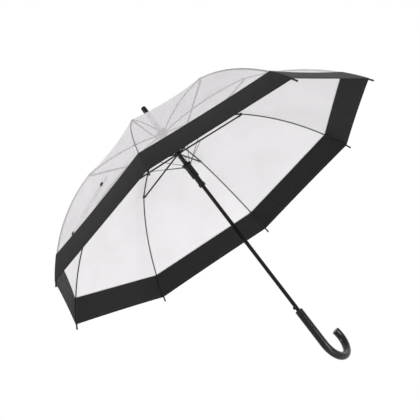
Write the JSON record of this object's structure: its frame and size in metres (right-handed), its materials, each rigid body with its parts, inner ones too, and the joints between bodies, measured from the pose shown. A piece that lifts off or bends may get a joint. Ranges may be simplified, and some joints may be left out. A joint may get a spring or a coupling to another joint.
{
  "type": "stick umbrella",
  "caption": "Open automatic stick umbrella with a clear domed canopy, wide black border, sliding runner, push button and crook handle.",
  "frame": {"origin": "on the shaft's axis, in the middle of the handle's straight grip", "axes": "+Z along the shaft from the handle to the ferrule, +X from the shaft towards the side that the crook bends to; the canopy is stored open"},
  "size_m": [0.9382, 0.9382, 0.8385],
  "materials": {
    "black_tube": "gloss black enamel on a steel tube",
    "black_steel": "satin black coating on formed steel",
    "black_fibre": "satin black glass-fibre rod and plastic tip cap",
    "black_plastic": "gloss",
    "handle_plastic": "polished lacquer",
    "bright_wire": "bright drawn wire",
    "dark_spring": "oiled spring steel",
    "clear_film": "soft frosted clear film",
    "black_fabric": "plain-weave polyester"
  },
  "bodies": {
    "pole": {"shaft": "black_tube", "ferrule": "black_plastic", "canopy_cap": "black_plastic", "crown": "black_plastic", "crown_wire": "bright_wire", "handle": "handle_plastic"},
    "button": {"push_button": "black_plastic"},
    "ring": {"upper_runner": "black_plastic", "opening_spring": "dark_spring"},
    "runner": {"runner_sleeve": "black_plastic"},
    "rib_1": {"rib_1": "black_steel", "film_gore_1": "clear_film"},
    "tip_1": {"rib_tip_1": "black_fibre", "border_panel_1": "black_fabric"},
    "stretcher_1": {"stretcher_1": "black_steel"},
    "strut_1": {"strut_1": "black_steel"},
    "rib_2": {"rib_2": "black_steel", "film_gore_2": "clear_film"},
    "tip_2": {"rib_tip_2": "black_fibre", "border_panel_2": "black_fabric"},
    "stretcher_2": {"stretcher_2": "black_steel"},
    "strut_2": {"strut_2": "black_steel"},
    "rib_3": {"rib_3": "black_steel", "film_gore_3": "clear_film"},
    "tip_3": {"rib_tip_3": "black_fibre", "border_panel_3": "black_fabric"},
    "stretcher_3": {"stretcher_3": "black_steel"},
    "strut_3": {"strut_3": "black_steel"},
    "rib_4": {"rib_4": "black_steel", "film_gore_4": "clear_film"},
    "tip_4": {"rib_tip_4": "black_fibre", "border_panel_4": "black_fabric", "closure_strap": "clear_film", "strap_snaps": "black_plastic"},
    "stretcher_4": {"stretcher_4": "black_steel"},
    "strut_4": {"strut_4": "black_steel"},
    "rib_5": {"rib_5": "black_steel", "film_gore_5": "clear_film"},
    "tip_5": {"rib_tip_5": "black_fibre", "border_panel_5": "black_fabric"},
    "stretcher_5": {"stretcher_5": "black_steel"},
    "strut_5": {"strut_5": "black_steel"},
    "rib_6": {"rib_6": "black_steel", "film_gore_6": "clear_film"},
    "tip_6": {"rib_tip_6": "black_fibre", "border_panel_6": "black_fabric"},
    "stretcher_6": {"stretcher_6": "black_steel"},
    "strut_6": {"strut_6": "black_steel"},
    "rib_7": {"rib_7": "black_steel", "film_gore_7": "clear_film"},
    "tip_7": {"rib_tip_7": "black_fibre", "border_panel_7": "black_fabric"},
    "stretcher_7": {"stretcher_7": "black_steel"},
    "strut_7": {"strut_7": "black_steel"},
    "rib_8": {"rib_8": "black_steel", "film_gore_8": "clear_film"},
    "tip_8": {"rib_tip_8": "black_fibre", "border_panel_8": "black_fabric"},
    "stretcher_8": {"stretcher_8": "black_steel"},
    "strut_8": {"strut_8": "black_steel"}
  },
  "joints": [
    {"name": "canopy_fold", "type": "hinge", "parent": "pole", "child": "rib_1", "pos_m": [0.00801, 0.00284, 0.636], "axis": [-0.3338, 0.9426, 0], "range_deg": [0, 78.3], "stiffness_Nm_per_rad": 0.9, "springref_deg": -91.67, "deforming": ["film_gore_1", "film_gore_2", "film_gore_3", "film_gore_4", "film_gore_5", "film_gore_6", "film_gore_7", "film_gore_8", "border_panel_1", "border_panel_2", "border_panel_3", "border_panel_4", "border_panel_5", "border_panel_6", "border_panel_7", "border_panel_8", "closure_strap", "strap_snaps"]},
    {"name": "rib_2_fold", "type": "hinge", "parent": "pole", "child": "rib_2", "pos_m": [0.00366, 0.00767, 0.636], "axis": [-0.9026, 0.4305, 0], "range_deg": [0, 78.3]},
    {"name": "rib_3_fold", "type": "hinge", "parent": "pole", "child": "rib_3", "pos_m": [-0.00284, 0.00801, 0.636], "axis": [-0.9426, -0.3338, 0], "range_deg": [0, 78.3]},
    {"name": "rib_4_fold", "type": "hinge", "parent": "pole", "child": "rib_4", "pos_m": [-0.00767, 0.00366, 0.636], "axis": [-0.4305, -0.9026, 0], "range_deg": [0, 78.3]},
    {"name": "rib_5_fold", "type": "hinge", "parent": "pole", "child": "rib_5", "pos_m": [-0.00801, -0.00284, 0.636], "axis": [0.3338, -0.9426, 0], "range_deg": [0, 78.3]},
    {"name": "rib_6_fold", "type": "hinge", "parent": "pole", "child": "rib_6", "pos_m": [-0.00366, -0.00767, 0.636], "axis": [0.9026, -0.4305, 0], "range_deg": [0, 78.3]},
    {"name": "rib_7_fold", "type": "hinge", "parent": "pole", "child": "rib_7", "pos_m": [0.00284, -0.00801, 0.636], "axis": [0.9426, 0.3338, 0], "range_deg": [0, 78.3]},
    {"name": "rib_8_fold", "type": "hinge", "parent": "pole", "child": "rib_8", "pos_m": [0.00767, -0.00366, 0.636], "axis": [0.4305, 0.9026, 0], "range_deg": [0, 78.3]},
    {"name": "rib_1_bend", "type": "hinge", "parent": "rib_1", "child": "tip_1", "pos_m": [0.23762, 0.08415, 0.60531], "axis": [-0.3338, 0.9426, 0], "range_deg": [-29.5, 0]},
    {"name": "stretcher_1_pivot", "type": "hinge", "parent": "rib_1", "child": "stretcher_1", "pos_m": [0.23564, 0.08344, 0.601], "axis": [-0.3338, 0.9426, 0], "range_deg": [-156.6, 0]},
    {"name": "rib_2_bend", "type": "hinge", "parent": "rib_2", "child": "tip_2", "pos_m": [0.10852, 0.22753, 0.60531], "axis": [-0.9026, 0.4305, 0], "range_deg": [-29.5, 0]},
    {"name": "stretcher_2_pivot", "type": "hinge", "parent": "rib_2", "child": "stretcher_2", "pos_m": [0.10762, 0.22562, 0.601], "axis": [-0.9026, 0.4305, 0], "range_deg": [-156.6, 0]},
    {"name": "rib_3_bend", "type": "hinge", "parent": "rib_3", "child": "tip_3", "pos_m": [-0.08415, 0.23762, 0.60531], "axis": [-0.9426, -0.3338, 0], "range_deg": [-29.5, 0]},
    {"name": "stretcher_3_pivot", "type": "hinge", "parent": "rib_3", "child": "stretcher_3", "pos_m": [-0.08344, 0.23564, 0.601], "axis": [-0.9426, -0.3338, 0], "range_deg": [-156.6, 0]},
    {"name": "rib_4_bend", "type": "hinge", "parent": "rib_4", "child": "tip_4", "pos_m": [-0.22753, 0.10852, 0.60531], "axis": [-0.4305, -0.9026, 0], "range_deg": [-29.5, 0]},
    {"name": "stretcher_4_pivot", "type": "hinge", "parent": "rib_4", "child": "stretcher_4", "pos_m": [-0.22562, 0.10762, 0.601], "axis": [-0.4305, -0.9026, 0], "range_deg": [-156.6, 0]},
    {"name": "rib_5_bend", "type": "hinge", "parent": "rib_5", "child": "tip_5", "pos_m": [-0.23762, -0.08415, 0.60531], "axis": [0.3338, -0.9426, 0], "range_deg": [-29.5, 0]},
    {"name": "stretcher_5_pivot", "type": "hinge", "parent": "rib_5", "child": "stretcher_5", "pos_m": [-0.23564, -0.08344, 0.601], "axis": [0.3338, -0.9426, 0], "range_deg": [-156.6, 0]},
    {"name": "rib_6_bend", "type": "hinge", "parent": "rib_6", "child": "tip_6", "pos_m": [-0.10852, -0.22753, 0.60531], "axis": [0.9026, -0.4305, 0], "range_deg": [-29.5, 0]},
    {"name": "stretcher_6_pivot", "type": "hinge", "parent": "rib_6", "child": "stretcher_6", "pos_m": [-0.10762, -0.22562, 0.601], "axis": [0.9026, -0.4305, 0], "range_deg": [-156.6, 0]},
    {"name": "rib_7_bend", "type": "hinge", "parent": "rib_7", "child": "tip_7", "pos_m": [0.08415, -0.23762, 0.60531], "axis": [0.9426, 0.3338, 0], "range_deg": [-29.5, 0]},
    {"name": "stretcher_7_pivot", "type": "hinge", "parent": "rib_7", "child": "stretcher_7", "pos_m": [0.08344, -0.23564, 0.601], "axis": [0.9426, 0.3338, 0], "range_deg": [-156.6, 0]},
    {"name": "rib_8_bend", "type": "hinge", "parent": "rib_8", "child": "tip_8", "pos_m": [0.22753, -0.10852, 0.60531], "axis": [0.4305, 0.9026, 0], "range_deg": [-29.5, 0]},
    {"name": "stretcher_8_pivot", "type": "hinge", "parent": "rib_8", "child": "stretcher_8", "pos_m": [0.22562, -0.10762, 0.601], "axis": [0.4305, 0.9026, 0], "range_deg": [-156.6, 0]},
    {"name": "upper_runner_level", "type": "hinge", "parent": "stretcher_1", "child": "ring", "pos_m": [0.00801, 0.00284, 0.566], "axis": [-0.3338, 0.9426, 0], "range_deg": [0, 78.3], "deforming": ["opening_spring"]},
    {"name": "runner_slide", "type": "slide", "parent": "ring", "child": "runner", "axis": [0, 0, 1], "range_m": [0, 0.02809]},
    {"name": "strut_1_pivot", "type": "hinge", "parent": "stretcher_1", "child": "strut_1", "pos_m": [0.08264, 0.02927, 0.57747], "axis": [-0.3338, 0.9426, 0], "range_deg": [0, 23.17]},
    {"name": "strut_2_pivot", "type": "hinge", "parent": "stretcher_2", "child": "strut_2", "pos_m": [0.03774, 0.07913, 0.57747], "axis": [-0.9026, 0.4305, 0], "range_deg": [0, 23.17]},
    {"name": "strut_3_pivot", "type": "hinge", "parent": "stretcher_3", "child": "strut_3", "pos_m": [-0.02927, 0.08264, 0.57747], "axis": [-0.9426, -0.3338, 0], "range_deg": [0, 23.17]},
    {"name": "strut_4_pivot", "type": "hinge", "parent": "stretcher_4", "child": "strut_4", "pos_m": [-0.07913, 0.03774, 0.57747], "axis": [-0.4305, -0.9026, 0], "range_deg": [0, 23.17]},
    {"name": "strut_5_pivot", "type": "hinge", "parent": "stretcher_5", "child": "strut_5", "pos_m": [-0.08264, -0.02927, 0.57747], "axis": [0.3338, -0.9426, 0], "range_deg": [0, 23.17]},
    {"name": "strut_6_pivot", "type": "hinge", "parent": "stretcher_6", "child": "strut_6", "pos_m": [-0.03774, -0.07913, 0.57747], "axis": [0.9026, -0.4305, 0], "range_deg": [0, 23.17]},
    {"name": "strut_7_pivot", "type": "hinge", "parent": "stretcher_7", "child": "strut_7", "pos_m": [0.02927, -0.08264, 0.57747], "axis": [0.9426, 0.3338, 0], "range_deg": [0, 23.17]},
    {"name": "strut_8_pivot", "type": "hinge", "parent": "stretcher_8", "child": "strut_8", "pos_m": [0.07913, -0.03774, 0.57747], "axis": [0.4305, 0.9026, 0], "range_deg": [0, 23.17]},
    {"name": "button_press", "type": "slide", "parent": "pole", "child": "button", "axis": [1, 0, 0], "range_m": [0, 0.0025], "stiffness_N_per_m": 600, "springref_m": -0.004}
  ],
  "couplings": [
    {"joint": "rib_2_fold", "follows": "canopy_fold", "ratio": 1},
    {"joint": "rib_3_fold", "follows": "canopy_fold", "ratio": 1},
    {"joint": "rib_4_fold", "follows": "canopy_fold", "ratio": 1},
    {"joint": "rib_5_fold", "follows": "canopy_fold", "ratio": 1},
    {"joint": "rib_6_fold", "follows": "canopy_fold", "ratio": 1},
    {"joint": "rib_7_fold", "follows": "canopy_fold", "ratio": 1},
    {"joint": "rib_8_fold", "follows": "canopy_fold", "ratio": 1},
    {"joint": "rib_1_bend", "follows": "canopy_fold", "ratio": -0.37676},
    {"joint": "stretcher_1_pivot", "follows": "canopy_fold", "ratio": -2},
    {"joint": "rib_2_bend", "follows": "canopy_fold", "ratio": -0.37676},
    {"joint": "stretcher_2_pivot", "follows": "canopy_fold", "ratio": -2},
    {"joint": "rib_3_bend", "follows": "canopy_fold", "ratio": -0.37676},
    {"joint": "stretcher_3_pivot", "follows": "canopy_fold", "ratio": -2},
    {"joint": "rib_4_bend", "follows": "canopy_fold", "ratio": -0.37676},
    {"joint": "stretcher_4_pivot", "follows": "canopy_fold", "ratio": -2},
    {"joint": "rib_5_bend", "follows": "canopy_fold", "ratio": -0.37676},
    {"joint": "stretcher_5_pivot", "follows": "canopy_fold", "ratio": -2},
    {"joint": "rib_6_bend", "follows": "canopy_fold", "ratio": -0.37676},
    {"joint": "stretcher_6_pivot", "follows": "canopy_fold", "ratio": -2},
    {"joint": "rib_7_bend", "follows": "canopy_fold", "ratio": -0.37676},
    {"joint": "stretcher_7_pivot", "follows": "canopy_fold", "ratio": -2},
    {"joint": "rib_8_bend", "follows": "canopy_fold", "ratio": -0.37676},
    {"joint": "stretcher_8_pivot", "follows": "canopy_fold", "ratio": -2},
    {"joint": "upper_runner_level", "follows": "canopy_fold", "ratio": 1},
    {"joint": "runner_slide", "follows": "canopy_fold", "m_per_rad": 0.020553},
    {"joint": "strut_1_pivot", "follows": "canopy_fold", "ratio": 0.29587},
    {"joint": "strut_2_pivot", "follows": "canopy_fold", "ratio": 0.29587},
    {"joint": "strut_3_pivot", "follows": "canopy_fold", "ratio": 0.29587},
    {"joint": "strut_4_pivot", "follows": "canopy_fold", "ratio": 0.29587},
    {"joint": "strut_5_pivot", "follows": "canopy_fold", "ratio": 0.29587},
    {"joint": "strut_6_pivot", "follows": "canopy_fold", "ratio": 0.29587},
    {"joint": "strut_7_pivot", "follows": "canopy_fold", "ratio": 0.29587},
    {"joint": "strut_8_pivot", "follows": "canopy_fold", "ratio": 0.29587}
  ]
}
